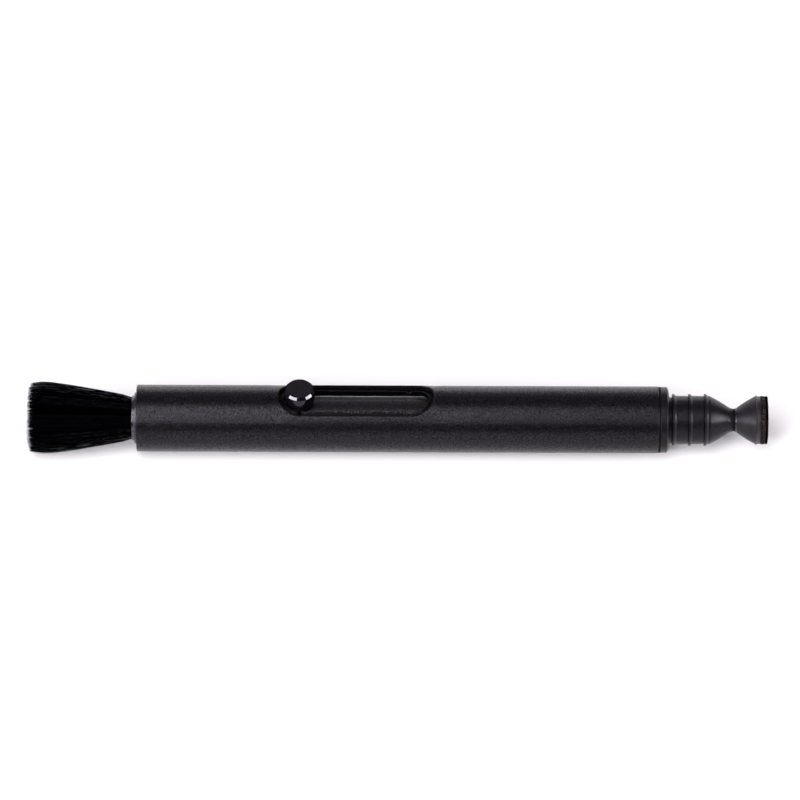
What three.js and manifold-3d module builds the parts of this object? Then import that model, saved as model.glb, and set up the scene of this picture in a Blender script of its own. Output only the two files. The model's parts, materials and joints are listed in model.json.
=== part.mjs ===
// Lens cleaning pen: a slotted aluminium barrel with a brush that a thumb knob slides in and out of
// one end, and a swivelling rubber head with a carbon cleaning pad at the other.
//
// Millimetres, +Z up. The pen lies along X on the plane z = 0, brush towards -X, knob on top.
// Inside the pen group x is measured along the pen's axis from the barrel's brush end, and y and z
// from that axis; the group then puts the middle of the pen's length over the origin.
import * as THREE from "three";
import { mergeVertices } from "three/addons/utils/BufferGeometryUtils.js";
import Module from "manifold-3d";

const wasm = await Module();
wasm.setup();

// Driving dimensions.
const SIDES = 32; // facets round the pen's axis, with one facet straight down
const SMALL_SIDES = 20; // facets round small pins and holes
const FIT = 0.05; // gap between pieces that are pressed or glued together
const RUNNING = 0.1; // radial gap between pieces that slide or turn

const BARREL = { radius: 6.5, wall: 0.85, length: 101.3, chamfer: 0.2 };
const SLOT = { from: 27.5, to: 57.75, halfWidth: 4.1 };

const SLEEVE = { wall: 1.05, from: 2.7, to: 88 };
const TRACK = { from: 28.5, to: 56.75, halfWidth: 2.81 };
const NOTCH = { width: 0.85, floor: 4.3, reach: 4.3 };

const TRAVEL = 21.2; // knob travel between its two notches
const KNOB_X = 31.65; // knob axis with the brush out

const MOUTH = { radius: 4.95, stickOut: 0.45, depth: 2.6, chamfer: 0.15 };
const FERRULE = { radius: 4.35, wall: 0.24, from: -0.92, to: 13.9 };
const BRUSH = { root: 6.5, neck: 4.3, widest: 6.95, widestX: -17.8, tip: -21.7, tipRound: 1.1 };
const ROOT_PLUG = { from: 6.6, to: 9.0 };

const CARRIER = { radius: 4.4, spigotFrom: 9.1, from: 14, boreFrom: 36, to: 62, bore: 3.3 };
const KNOB_SEAT = { radius: 2.75, floor: 4.2 };
const DRAG_RING = { x: 59.1, radius: 0.52, groove: 1.3 };

const KNOB = { stud: 1.0, studEnd: 0.9, base: 4.27, neck: 2.67, shoulder: 5.8 };
const BUTTON = { radius: 2.94, bevelFrom: 7.59, face: 2.49, top: 8.23 };
const INSERT = { radius: 1.85, from: 0.4, to: 4.1 };
const WIRE = { radius: 0.28, z: 4.65, halfLength: 3.6 };

const GASKET = { radius: 6.42, thickness: 0.22 };
const FLANGE = { radius: 6.4, from: 101.62, rim: 102.88, seat: 103.25, seatRadius: 5.8 };
const RELIEF = { radius: 5.15, depth: 0.15 }; // ring sunk round the spigot, inside the cap's seat
const SPIGOT = { radius: 4.68, grooveRadius: 4.5 };
const RIB = { first: 104.0, second: 107.12, third: 110.18, radius: 5.04, crest: 0.3, slope: 0.4 };
const PLUG = { from: 88.3, lead: 0.4, bore: 3.6, boreTo: 110.7 };
const CONE = { from: 111.35, radius: 4.6, to: 115.05, waist: 2.42 };

const PIVOT = 116.0; // centre of the head's ball joint
const SOCKET = { rim: 115.7, rimRadius: 2.28, stemHole: 0.7, floor: 112.4 };
const BALL = 2.2; // radius of the head's outer ball
const STUD = { ball: 1.15, stem: 0.55, end: 111.2, neck: 0.4 };
const CLIP = { radius: 1.5, from: 111.75, to: 112.2 };

const HEAD = { flareFrom: 116.2, lip: 120.3, lipRadius: 4.84, face: 121.05, recess: 4.0, recessTo: 119.9 };
const TAPE = 0.12;
const CUSHION = { radius: 4.7, to: 122.0 };
const PAD = { radius: 4.66, to: 122.5, edge: 0.12 };

const MATERIALS = {
  barrel: { color: 0x1c1c1e, roughness: 0.5, metalness: 0.6 },
  moulded: { color: 0x17171a, roughness: 0.4, metalness: 0 },
  polished: { color: 0x08080a, roughness: 0.12, metalness: 0.7 },
  ferrule: { color: 0x2a2a2c, roughness: 0.3, metalness: 0.9 },
  bristle: { color: 0x050507, roughness: 0.6, metalness: 0 },
  resin: { color: 0x2b2620, roughness: 0.5, metalness: 0 },
  rubber: { color: 0x1d1d21, roughness: 0.7, metalness: 0 },
  brass: { color: 0xb08d4a, roughness: 0.35, metalness: 1 },
  steel: { color: 0x30302f, roughness: 0.3, metalness: 1 },
  felt: { color: 0x2c201b, roughness: 0.95, metalness: 0 },
  carbon: { color: 0x0b0a0a, roughness: 0.95, metalness: 0 },
  tape: { color: 0xd8d4c4, roughness: 0.8, metalness: 0 },
};

// A piece turned about the pen's axis from an outline of [x, radius] points.
function turned(outline, sides = SIDES) {
  const points = outline.map(([x, r]) => new THREE.Vector2(r, x));
  return new THREE.LatheGeometry(points, sides, Math.PI / sides).rotateZ(-Math.PI / 2);
}

// The same about the knob's axis, from [radius, z] points.
function turnedAtKnob(outline, sides = SMALL_SIDES) {
  const points = outline.map(([r, z]) => new THREE.Vector2(r, z));
  const geometry = new THREE.LatheGeometry(points, sides, Math.PI / sides);
  return geometry.rotateX(Math.PI / 2).translate(KNOB_X, 0, 0);
}

// An outline that goes round a ring of rectangular section.
function ringOutline(from, to, inner, outer) {
  return [[from, inner], [from, outer], [to, outer], [to, inner], [from, inner]];
}

// Points of an arc in the outline's plane; the angle is measured from +x towards +radius.
function arc(centreX, centreR, radius, fromDeg, toDeg, steps) {
  return Array.from({ length: steps + 1 }, (_, i) => {
    const a = THREE.MathUtils.degToRad(fromDeg + ((toDeg - fromDeg) * i) / steps);
    return [centreX + radius * Math.cos(a), centreR + radius * Math.sin(a)];
  });
}

// Points of a gently bulging flank between two outline points, the start and end left to the caller.
function flank([x0, r0], [x1, r1], bulge, steps) {
  return Array.from({ length: steps - 1 }, (_, i) => {
    const t = (i + 1) / steps;
    return [x0 + (x1 - x0) * t, r0 + (r1 - r0) * t + bulge * 4 * t * (1 - t)];
  });
}

// A slot with round ends, standing through the pen's top wall.
function slotCutter({ from, to, halfWidth }) {
  const shape = new THREE.Shape();
  shape.absarc(to - halfWidth, 0, halfWidth, -Math.PI / 2, Math.PI / 2);
  shape.absarc(from + halfWidth, 0, halfWidth, Math.PI / 2, (3 * Math.PI) / 2);
  return new THREE.ExtrudeGeometry(shape, { depth: 10, bevelEnabled: false, curveSegments: 12 });
}

function block(x, y, z, width, depth, height) {
  return new THREE.BoxGeometry(width, depth, height).translate(x, y, z);
}

function solidOf(geometry) {
  const bare = geometry.clone();
  bare.deleteAttribute("normal");
  bare.deleteAttribute("uv");
  const merged = mergeVertices(bare, 1e-4);
  const vertProperties = merged.attributes.position.array;
  const triVerts = new Uint32Array(merged.index.array);
  return new wasm.Manifold(new wasm.Mesh({ numProp: 3, vertProperties, triVerts }));
}

function geometryOf(solid) {
  const { vertProperties, triVerts } = solid.getMesh();
  const geometry = new THREE.BufferGeometry();
  geometry.setAttribute("position", new THREE.BufferAttribute(vertProperties, 3));
  geometry.setIndex(new THREE.BufferAttribute(triVerts, 1));
  geometry.computeVertexNormals();
  return geometry;
}

function cut(geometry, ...cutters) {
  return geometryOf(cutters.reduce((rest, cutter) => rest.subtract(solidOf(cutter)), solidOf(geometry)));
}

// The barrel and what is fixed inside it.

function barrelTube() {
  const { radius, wall, length, chamfer } = BARREL;
  const inner = radius - wall;
  const tube = turned([
    [0, inner],
    [0, radius - chamfer],
    [chamfer, radius],
    [length - chamfer, radius],
    [length, radius - chamfer],
    [length, inner],
    [0, inner],
  ]);
  return cut(tube, slotCutter(SLOT));
}

const linerRadius = BARREL.radius - BARREL.wall - FIT;
const guideBore = linerRadius - SLEEVE.wall;

function guideSleeve() {
  const sleeve = turned(ringOutline(SLEEVE.from, SLEEVE.to, guideBore, linerRadius));
  const notchHeight = 2;
  const notches = [KNOB_X, KNOB_X + TRAVEL].map((x) =>
    block(x, 0, NOTCH.floor + notchHeight / 2, NOTCH.width, 2 * NOTCH.reach, notchHeight),
  );
  return cut(sleeve, slotCutter(TRACK), ...notches);
}

function mouthRing() {
  const { radius, stickOut, depth, chamfer } = MOUTH;
  const bore = FERRULE.radius + RUNNING;
  return turned([
    [-stickOut, bore],
    [-stickOut, radius - chamfer],
    [chamfer - stickOut, radius],
    [FIT, radius],
    [FIT, linerRadius],
    [depth, linerRadius],
    [depth, bore],
    [-stickOut, bore],
  ]);
}

function endGasket() {
  const from = BARREL.length + FIT;
  return turned(ringOutline(from, from + GASKET.thickness, linerRadius + FIT, GASKET.radius));
}

// A cap-gripping rib: steep on the flange's side, sloping towards the tip.
function rib(x) {
  return [
    [x, RIB.radius],
    [x + RIB.crest, RIB.radius],
    [x + RIB.crest + RIB.slope, SPIGOT.radius],
  ];
}

function tipHolder() {
  const coneStart = [CONE.from, CONE.radius];
  const coneEnd = [CONE.to, CONE.waist];
  const socketRadius = Math.hypot(PIVOT - SOCKET.rim, SOCKET.rimRadius);
  const rimAngle = THREE.MathUtils.radToDeg(Math.atan2(SOCKET.rimRadius, SOCKET.rim - PIVOT));
  const holeAngle = 180 - THREE.MathUtils.radToDeg(Math.asin(SOCKET.stemHole / socketRadius));
  return turned([
    [PLUG.from, PLUG.bore],
    [PLUG.from, linerRadius - PLUG.lead],
    [PLUG.from + PLUG.lead, linerRadius],
    [FLANGE.from, linerRadius],
    [FLANGE.from, FLANGE.radius],
    [FLANGE.rim, FLANGE.radius],
    [FLANGE.seat, FLANGE.seatRadius],
    [FLANGE.seat, RELIEF.radius],
    [FLANGE.seat - RELIEF.depth, RELIEF.radius],
    [FLANGE.seat - RELIEF.depth, SPIGOT.grooveRadius],
    [RIB.first, SPIGOT.grooveRadius],
    ...rib(RIB.first),
    [RIB.second, SPIGOT.radius],
    ...rib(RIB.second),
    [RIB.third, SPIGOT.radius],
    ...rib(RIB.third),
    [CONE.from, SPIGOT.radius],
    coneStart,
    ...flank(coneStart, coneEnd, 0.1, 4),
    coneEnd,
    ...arc(PIVOT, 0, socketRadius, rimAngle, holeAngle, 5),
    [SOCKET.floor, SOCKET.stemHole],
    [SOCKET.floor, PLUG.bore / 2],
    [PLUG.boreTo, PLUG.bore],
    [PLUG.from, PLUG.bore],
  ]);
}

// The brush and its slider, drawn with the brush out.

function brushFerrule() {
  const { radius, wall, from, to } = FERRULE;
  return turned(ringOutline(from, to, radius - wall, radius));
}

const ferruleBore = FERRULE.radius - FERRULE.wall;

// The bristle bundle as one plain body. The hairs that would reach under the table line lie along it.
function bristles() {
  const { root, neck, widest, widestX, tip, tipRound } = BRUSH;
  const packed = ferruleBore - FIT;
  const lip = FERRULE.from - FIT;
  const bundle = turned([
    [tip, 0],
    [tip, widest - 3 * tipRound],
    [tip + tipRound / 2, widest - tipRound / 2],
    [widestX, widest],
    [lip, neck],
    [lip, packed],
    [root, packed],
    [root, 0],
  ]);
  const tableZ = -BARREL.radius * Math.cos(Math.PI / SIDES);
  return cut(bundle, block(widestX, 0, tableZ - 1, 30, 20, 2));
}

function rootPlug() {
  const radius = ferruleBore - FIT;
  return turned([[ROOT_PLUG.from, 0], [ROOT_PLUG.from, radius], [ROOT_PLUG.to, radius], [ROOT_PLUG.to, 0]]);
}

function sliderCarrier() {
  const { radius, spigotFrom, from, boreFrom, to, bore } = CARRIER;
  const grooveFrom = DRAG_RING.x - DRAG_RING.groove / 2;
  const grooveTo = DRAG_RING.x + DRAG_RING.groove / 2;
  const grooveRadius = guideBore - 2 * DRAG_RING.radius - 2 * FIT;
  const spigot = ferruleBore - FIT;
  const body = turned([
    [spigotFrom, 0],
    [spigotFrom, spigot],
    [from, spigot],
    [from, radius],
    [grooveFrom, radius],
    [grooveFrom, grooveRadius],
    [grooveTo, grooveRadius],
    [grooveTo, radius],
    [to, radius],
    [to, bore],
    [boreFrom, bore],
    [boreFrom, 0],
  ]);
  const seat = turnedAtKnob(column(KNOB_SEAT.radius, KNOB_SEAT.floor, 6));
  const insertHole = turnedAtKnob(column(INSERT.radius + FIT, INSERT.from - FIT, 6));
  return cut(body, seat, insertHole);
}

function column(radius, from, to) {
  return [[0, from], [radius, from], [radius, to], [0, to]];
}

// A rubber ring that drags on the guide sleeve, so that the slider doesn't rattle.
function dragRing() {
  const centre = guideBore - DRAG_RING.radius - FIT;
  return turned(arc(DRAG_RING.x, centre, DRAG_RING.radius, 360, 0, 8));
}

function knobInsert() {
  const { radius, from, to } = INSERT;
  const bore = KNOB.stud + RUNNING;
  return turnedAtKnob([[bore, from], [radius, from], [radius, to], [bore, to], [bore, from]]);
}

function thumbKnob() {
  const knob = turnedAtKnob(
    [
      [0, KNOB.studEnd],
      [KNOB.stud, KNOB.studEnd],
      [KNOB.stud, KNOB.base],
      [KNOB.neck, KNOB.base],
      [KNOB.neck, KNOB.shoulder],
      [BUTTON.radius, KNOB.shoulder],
      [BUTTON.radius, BUTTON.bevelFrom],
      [BUTTON.face, BUTTON.top],
      [0, BUTTON.top],
    ],
    SIDES,
  );
  // The wire's hole opens downwards on both sides of a web in the middle of the stud.
  const width = 2 * (WIRE.radius + FIT);
  const grooveTop = WIRE.z + WIRE.radius + FIT;
  const grooveBottom = KNOB.base - 1;
  const grooveMiddle = (grooveTop + grooveBottom) / 2;
  const webHalf = 0.35;
  const reach = KNOB.neck + 1 - webHalf;
  const side = webHalf + reach / 2;
  const groove = (y) => block(KNOB_X, y, grooveMiddle, width, reach, grooveTop - grooveBottom);
  const hole = block(KNOB_X, 0, WIRE.z, width, 8, width);
  return cut(knob, groove(side), groove(-side), hole);
}

// The cross wire that clicks into the sleeve's notches at each end of the travel.
function detentWire() {
  const { radius, z, halfLength } = WIRE;
  return new THREE.CylinderGeometry(radius, radius, 2 * halfLength, 10).translate(KNOB_X, 0, z);
}

// The swivelling cleaning head.

function ballStud() {
  const shoulder = 180 - THREE.MathUtils.radToDeg(Math.asin(STUD.stem / STUD.ball));
  return turned(
    [
      [STUD.end, 0],
      [STUD.end, STUD.stem],
      [CLIP.from - FIT, STUD.stem],
      [CLIP.from - FIT, STUD.neck],
      [CLIP.to + FIT, STUD.neck],
      [CLIP.to + FIT, STUD.stem],
      ...arc(PIVOT, 0, STUD.ball, shoulder, 0, 8),
    ],
    SMALL_SIDES,
  );
}

function studClip() {
  return turned(ringOutline(CLIP.from, CLIP.to, STUD.neck + FIT, CLIP.radius), SMALL_SIDES);
}

function headCup() {
  const innerBall = STUD.ball + RUNNING;
  const mouthIn = 180 - THREE.MathUtils.radToDeg(Math.asin(0.95 / innerBall));
  const mouthOut = 180 - THREE.MathUtils.radToDeg(Math.asin(1.2 / BALL));
  const flareAngle = THREE.MathUtils.radToDeg(Math.acos((HEAD.flareFrom - PIVOT) / BALL));
  const flareStart = [HEAD.flareFrom, BALL];
  const flareEnd = [HEAD.lip - 0.2, HEAD.lipRadius - 0.2];
  return turned([
    ...arc(PIVOT, 0, BALL, mouthOut, flareAngle, 6),
    ...flank(flareStart, flareEnd, 0.13, 6),
    flareEnd,
    [HEAD.lip, HEAD.lipRadius],
    [HEAD.face, HEAD.lipRadius - 0.12],
    [HEAD.face, HEAD.recess],
    [HEAD.recessTo, HEAD.recess],
    [HEAD.recessTo, 0.4],
    [PIVOT + innerBall, 0.4],
    ...arc(PIVOT, 0, innerBall, 20, mouthIn, 6),
    arc(PIVOT, 0, BALL, mouthOut, mouthOut, 1)[0],
  ]);
}

function padTape() {
  const from = HEAD.recessTo + FIT;
  const radius = HEAD.recess - RUNNING;
  return turned([[from, 0], [from, radius], [from + TAPE, radius], [from + TAPE, 0]]);
}

function padCushion() {
  const from = HEAD.recessTo + TAPE + 2 * FIT;
  const boss = HEAD.recess - RUNNING;
  const ledge = HEAD.face + FIT;
  return turned([
    [from, 0],
    [from, boss],
    [ledge, boss],
    [ledge, CUSHION.radius],
    [CUSHION.to, CUSHION.radius],
    [CUSHION.to, 0],
  ]);
}

function padFace() {
  const { radius, to, edge } = PAD;
  const from = CUSHION.to + FIT;
  return turned([[from, 0], [from, radius], [to - edge, radius], [to, radius - edge], [to, 0]]);
}

const PIECES = {
  barrel_tube: ["barrel", barrelTube],
  guide_sleeve: ["moulded", guideSleeve],
  mouth_ring: ["moulded", mouthRing],
  end_gasket: ["rubber", endGasket],
  tip_holder: ["moulded", tipHolder],
  brush_ferrule: ["ferrule", brushFerrule],
  bristles: ["bristle", bristles],
  bristle_root_plug: ["resin", rootPlug],
  slider_carrier: ["moulded", sliderCarrier],
  drag_ring: ["rubber", dragRing],
  knob_insert: ["brass", knobInsert],
  thumb_knob: ["polished", thumbKnob],
  detent_wire: ["steel", detentWire],
  ball_stud: ["steel", ballStud],
  stud_clip: ["steel", studClip],
  head_cup: ["rubber", headCup],
  pad_tape: ["tape", padTape],
  pad_cushion: ["felt", padCushion],
  pad_face: ["carbon", padFace],
};

const pen = new THREE.Group();
for (const [name, [material, build]] of Object.entries(PIECES)) {
  const mesh = new THREE.Mesh(build(), new THREE.MeshStandardMaterial(MATERIALS[material]));
  mesh.name = name;
  pen.add(mesh);
}
pen.position.set(-(BRUSH.tip + PAD.to) / 2, 0, BARREL.radius * Math.cos(Math.PI / SIDES));

const lensPen = new THREE.Group();
lensPen.add(pen);
export default lensPen;
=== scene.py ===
"""A lens cleaning pen on a white table: fine surfaces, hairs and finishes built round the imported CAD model.

Lengths in the outlines are millimetres in the pen's own frame: x along its axis from the barrel's brush end
towards the cleaning pad, and y and z from that axis. place() turns them into metres in the CAD frame.
"""

import json
import math

import bmesh
import bpy
import numpy as np
from mathutils import Matrix, Vector


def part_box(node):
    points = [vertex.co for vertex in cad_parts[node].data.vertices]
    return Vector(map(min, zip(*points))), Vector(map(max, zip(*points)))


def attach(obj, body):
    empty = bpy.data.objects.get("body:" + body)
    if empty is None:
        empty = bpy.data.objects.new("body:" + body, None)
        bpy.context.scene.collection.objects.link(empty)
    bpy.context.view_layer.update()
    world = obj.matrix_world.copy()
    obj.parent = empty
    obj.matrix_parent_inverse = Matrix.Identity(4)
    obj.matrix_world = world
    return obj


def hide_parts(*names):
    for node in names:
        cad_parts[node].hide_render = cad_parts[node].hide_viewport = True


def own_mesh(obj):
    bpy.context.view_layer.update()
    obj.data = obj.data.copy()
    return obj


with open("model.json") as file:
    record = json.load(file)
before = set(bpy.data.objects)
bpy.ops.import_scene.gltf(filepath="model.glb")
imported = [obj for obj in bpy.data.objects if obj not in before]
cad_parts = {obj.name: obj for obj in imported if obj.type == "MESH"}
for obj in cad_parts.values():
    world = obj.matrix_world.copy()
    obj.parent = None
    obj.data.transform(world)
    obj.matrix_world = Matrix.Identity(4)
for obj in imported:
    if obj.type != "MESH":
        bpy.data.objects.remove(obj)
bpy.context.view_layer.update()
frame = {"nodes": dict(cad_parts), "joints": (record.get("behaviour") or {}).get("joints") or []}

MM = 0.001
FACETS = 32  # sides of the CAD's round pieces, whose boxes are narrower than their circles by this much
ROUND = math.cos(math.pi / FACETS)
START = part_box("barrel_tube")[0].x
AXIS_Z = sum(corner.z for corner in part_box("mouth_ring")) / 2


def place(x, y=0.0, z=0.0):
    return Vector((START + x * MM, y * MM, AXIS_Z + z * MM))


def span(node):
    """Where a turned CAD node starts and ends along the pen, and its radius."""
    low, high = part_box(node)
    return (low.x - START) / MM, (high.x - START) / MM, (high.y - low.y) / 2 / MM / ROUND


BARREL_LENGTH, BARREL_RADIUS = span("barrel_tube")[1:]
BARREL_BORE = 5.65
SLEEVE_FROM, SLEEVE_TO, SLEEVE_RADIUS = span("guide_sleeve")
SLEEVE_BORE = 4.55
SLOT = (27.5, 57.75, 4.2)  # from, to and half the width
TRACK = (28.5, 56.75, 2.81)
NOTCH_WIDTH = 0.85
PAINTED_GLINT_STRIP = 0.32  # width of the strip beside the track's near edge where glints are painted as pale specks
TRAVEL = 1000 * [j for j in frame["joints"] if j["name"] == "brush_slide"][0]["range_m"][1]
KNOB_X = (sum(corner.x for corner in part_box("thumb_knob")) / 2 - START) / MM
PIVOT = 116.0


# Materials


class Finish:
    """A material round one Principled shader, with short calls for what drives its looks."""

    def __init__(self, name, color, roughness, **inputs):
        self.material = bpy.data.materials.new(name)
        self.material.use_nodes = True
        self.nodes = self.material.node_tree.nodes
        self.links = self.material.node_tree.links
        self.shader = self.nodes["Principled BSDF"]
        self.shader.inputs["Base Color"].default_value = (*color, 1)
        self.shader.inputs["Roughness"].default_value = roughness
        for key, value in inputs.items():
            self.shader.inputs[key.replace("_", " ").title().replace("Ior", "IOR")].default_value = value
        self.coords = self.nodes.new("ShaderNodeTexCoord").outputs["Object"]
        self.height = None

    def noise(self, size_mm, detail=3.0, stretch=(1, 1, 1), roughness=0.55):
        """Noise with patches of about size_mm, drawn out along an axis whose stretch is over 1."""
        mapping = self.nodes.new("ShaderNodeMapping")
        mapping.inputs["Scale"].default_value = [1 / s for s in stretch]
        self.links.new(self.coords, mapping.inputs["Vector"])
        texture = self.nodes.new("ShaderNodeTexNoise")
        texture.inputs["Scale"].default_value = 1 / (size_mm * MM)
        texture.inputs["Detail"].default_value = detail
        texture.inputs["Roughness"].default_value = roughness
        self.links.new(mapping.outputs["Vector"], texture.inputs["Vector"])
        return texture.outputs["Fac"]

    def cells(self, size_mm):
        texture = self.nodes.new("ShaderNodeTexVoronoi")
        texture.inputs["Scale"].default_value = 1 / (size_mm * MM)
        self.links.new(self.coords, texture.inputs["Vector"])
        return texture.outputs["Distance"]

    def attribute(self, name):
        node = self.nodes.new("ShaderNodeAttribute")
        node.attribute_name = name
        return node.outputs["Fac"]

    def ramp(self, source, low, high, start=0.3, end=0.7):
        """Colours or values from low to high as source goes from start to end."""
        node = self.nodes.new("ShaderNodeValToRGB")
        for stop, at, value in zip(node.color_ramp.elements, (start, end), (low, high)):
            stop.position = at
            stop.color = (*value, 1) if isinstance(value, tuple) else (value, value, value, 1)
        self.links.new(source, node.inputs["Fac"])
        return node.outputs["Color"]

    def turned_away(self):
        """0 where the surface faces the viewer, and 1 at its outline."""
        node = self.nodes.new("ShaderNodeLayerWeight")
        node.inputs["Blend"].default_value = 0.5
        return node.outputs["Facing"]

    def multiply(self, one, two):
        node = self.nodes.new("ShaderNodeMath")
        node.operation = "MULTIPLY"
        self.links.new(one, node.inputs[0])
        self.links.new(two, node.inputs[1])
        return node.outputs[0]

    def color(self, source, low, high, start=0.3, end=0.7):
        self.links.new(self.ramp(source, low, high, start, end), self.shader.inputs["Base Color"])
        return self

    def roughness(self, source, low, high, start=0.3, end=0.7):
        self.links.new(self.ramp(source, low, high, start, end), self.shader.inputs["Roughness"])
        return self

    def shine(self, source):
        self.links.new(source, self.shader.inputs["Specular IOR Level"])
        return self

    def bump(self, source, depth_mm):
        """Adds relief. Calls add up, each on top of the one before."""
        node = self.nodes.new("ShaderNodeBump")
        node.inputs["Strength"].default_value = 1.0
        node.inputs["Distance"].default_value = depth_mm * MM
        self.links.new(source, node.inputs["Height"])
        if self.height is not None:
            self.links.new(self.height, node.inputs["Normal"])
        self.height = node.outputs["Normal"]
        self.links.new(self.height, self.shader.inputs["Normal"])
        return self


INK = (0.95, 0.9, 1.0, 1)  # the cool cast in the shine of the dyed and moulded blacks


def anodised_aluminium():
    """Bead-blasted and dyed black: an even grain, some of which shines more than the rest."""
    f = Finish("anodised_aluminium", (0.003, 0.003, 0.004), 0.26, specular_tint=INK)
    grain, pits = f.noise(0.26, detail=3, roughness=0.7), f.cells(0.26)
    f.color(grain, (0.0005, 0.0005, 0.0005), (0.005, 0.004, 0.006), 0.35, 0.65)
    f.roughness(pits, 0.32, 0.22, 0.1, 0.6)
    f.shine(f.ramp(grain, 0.04, 0.4, 0.38, 0.62))
    return f.bump(grain, 0.036).bump(pits, 0.012).bump(f.noise(3.0), 0.008).material


def turned_ring():
    """Turned and blackened metal with a dull shine."""
    f = Finish("turned_ring", (0.06, 0.058, 0.064), 0.34, metallic=1.0)
    f.color(f.noise(0.5, detail=4), (0.045, 0.043, 0.048), (0.09, 0.086, 0.095))
    f.roughness(f.noise(0.3, detail=3), 0.28, 0.42)
    return f.bump(f.noise(0.3), 0.008).material


def wear_and_glint_edge(pale, threshold):
    """Pale specks on a corner: wear on the cup's lip, and painted glints along the sleeve's edges. The higher
    threshold is, the fewer they are.
    """
    f = Finish("wear_and_glint_edge", (0.02, 0.02, 0.02), 0.35, specular_ior_level=0.5)
    wear = f.noise(0.32, detail=5, roughness=0.8)
    f.color(wear, (0.003, 0.003, 0.004), (pale, pale * 0.97, pale * 1.02), threshold, threshold + 0.2)
    f.roughness(f.noise(0.3, detail=3), 0.25, 0.5)
    return f.bump(f.noise(0.3, detail=4), 0.03).material


def milled_edge():
    """Where the slot was milled: a little greyer than the blasted skin."""
    f = Finish("milled_edge", (0.004, 0.004, 0.005), 0.45, specular_ior_level=0.06, specular_tint=INK)
    f.color(f.noise(0.5, detail=4), (0.001, 0.001, 0.0015), (0.007, 0.007, 0.009))
    f.roughness(f.noise(0.2, detail=3), 0.35, 0.55)
    return f.bump(f.noise(0.3, detail=3, stretch=(1, 1, 3)), 0.02).material


def satin_plastic():
    f = Finish("satin_plastic", (0.003, 0.003, 0.004), 0.3, specular_ior_level=0.17, specular_tint=INK)
    f.color(f.noise(1.0), (0.002, 0.002, 0.003), (0.006, 0.005, 0.007))
    f.roughness(f.noise(0.5, detail=4), 0.26, 0.36)
    return f.bump(f.noise(0.25, detail=3), 0.003).bump(f.noise(1.4), 0.006).material


def sleeve_plastic():
    """Dull black, as the mould leaves it, with pale specks painted along the track's near edge as glints."""
    f = Finish("sleeve_plastic", (0.003, 0.003, 0.004), 0.45, specular_ior_level=0.06, specular_tint=INK)
    parts = f.nodes.new("ShaderNodeSeparateXYZ")
    f.links.new(f.coords, parts.inputs[0])
    on_edge = f.nodes.new("ShaderNodeMath")
    on_edge.operation = "COMPARE"
    on_edge.inputs[1].default_value = -(TRACK[2] + PAINTED_GLINT_STRIP / 2) * MM
    on_edge.inputs[2].default_value = PAINTED_GLINT_STRIP / 2 * MM
    f.links.new(parts.outputs["Y"], on_edge.inputs[0])
    # pale specks on the near edge only: painted glints
    painted_glints = f.multiply(on_edge.outputs[0], f.ramp(f.noise(0.34, detail=4), 0.0, 1.0, 0.53, 0.62))
    f.color(painted_glints, (0.0006, 0.0006, 0.001), (0.05, 0.048, 0.053), 0.0, 1.0)
    f.roughness(f.noise(0.3, detail=4), 0.35, 0.55)
    return f.bump(f.cells(0.25), 0.02).bump(f.noise(0.9), 0.01).material


def slider_plastic():
    """Semi-gloss black, with moulding grain that catches points of light and a bloom at glancing angles."""
    f = Finish("slider_plastic", (0.003, 0.003, 0.004), 0.3, sheen_roughness=0.3)
    f.color(f.noise(1.2, detail=4), (0.002, 0.002, 0.003), (0.008, 0.007, 0.009))
    f.roughness(f.noise(0.3, detail=4), 0.24, 0.42)
    f.shine(f.ramp(f.noise(0.22, detail=3), 0.08, 0.34, 0.38, 0.62))
    f.links.new(f.ramp(f.turned_away(), 0.03, 0.6, 0.42, 0.92), f.shader.inputs["Sheen Weight"])
    return f.bump(f.cells(0.3), 0.016).bump(f.noise(0.9), 0.01).material


def polished_black():
    """Mirror-smooth black that goes dead towards its edges."""
    f = Finish("polished_black", (0.002, 0.002, 0.003), 0.04, specular_tint=INK)
    f.color(f.noise(2.0), (0.001, 0.001, 0.002), (0.004, 0.003, 0.005))
    f.roughness(f.noise(0.35, detail=5, stretch=(3, 1, 1)), 0.03, 0.08)
    return f.shine(f.ramp(f.turned_away(), 0.31, 0.0, 0.35, 0.46)).material


def blued_steel():
    f = Finish("blued_steel", (0.012, 0.012, 0.014), 0.35, metallic=1.0)
    f.color(f.noise(0.6, detail=4), (0.006, 0.006, 0.008), (0.02, 0.02, 0.024))
    f.roughness(f.noise(0.12, stretch=(1, 6, 1)), 0.28, 0.45)
    return f.bump(f.noise(0.08, stretch=(1, 8, 1)), 0.002).material


def blackened_metal():
    f = Finish("blackened_metal", (0.07, 0.066, 0.075), 0.3, metallic=1.0)
    f.color(f.noise(0.35, detail=4, roughness=0.7), (0.015, 0.014, 0.017), (0.14, 0.132, 0.15), 0.35, 0.65)
    f.roughness(f.noise(0.25, detail=4, stretch=(1, 4, 4)), 0.2, 0.36)
    return f.bump(f.noise(0.25, stretch=(1, 2, 2)), 0.02).material


def soft_rubber():
    f = Finish("soft_rubber", (0.005, 0.005, 0.006), 0.4, specular_ior_level=0.22, specular_tint=INK)
    f.color(f.noise(1.5, detail=5), (0.003, 0.003, 0.004), (0.01, 0.009, 0.012))
    f.roughness(f.noise(0.3, detail=4), 0.34, 0.5)
    return f.bump(f.noise(0.25, detail=3), 0.016).bump(f.noise(1.6), 0.02).material


def burnished_rubber():
    """The cup's neck bead, rubbed shiny by the swivel."""
    f = Finish("burnished_rubber", (0.005, 0.005, 0.006), 0.2, specular_ior_level=0.9, specular_tint=INK)
    f.color(f.noise(0.4), (0.003, 0.003, 0.004), (0.008, 0.007, 0.009))
    f.roughness(f.noise(0.2, detail=4), 0.16, 0.26)
    return f.bump(f.noise(0.3), 0.004).material


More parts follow.
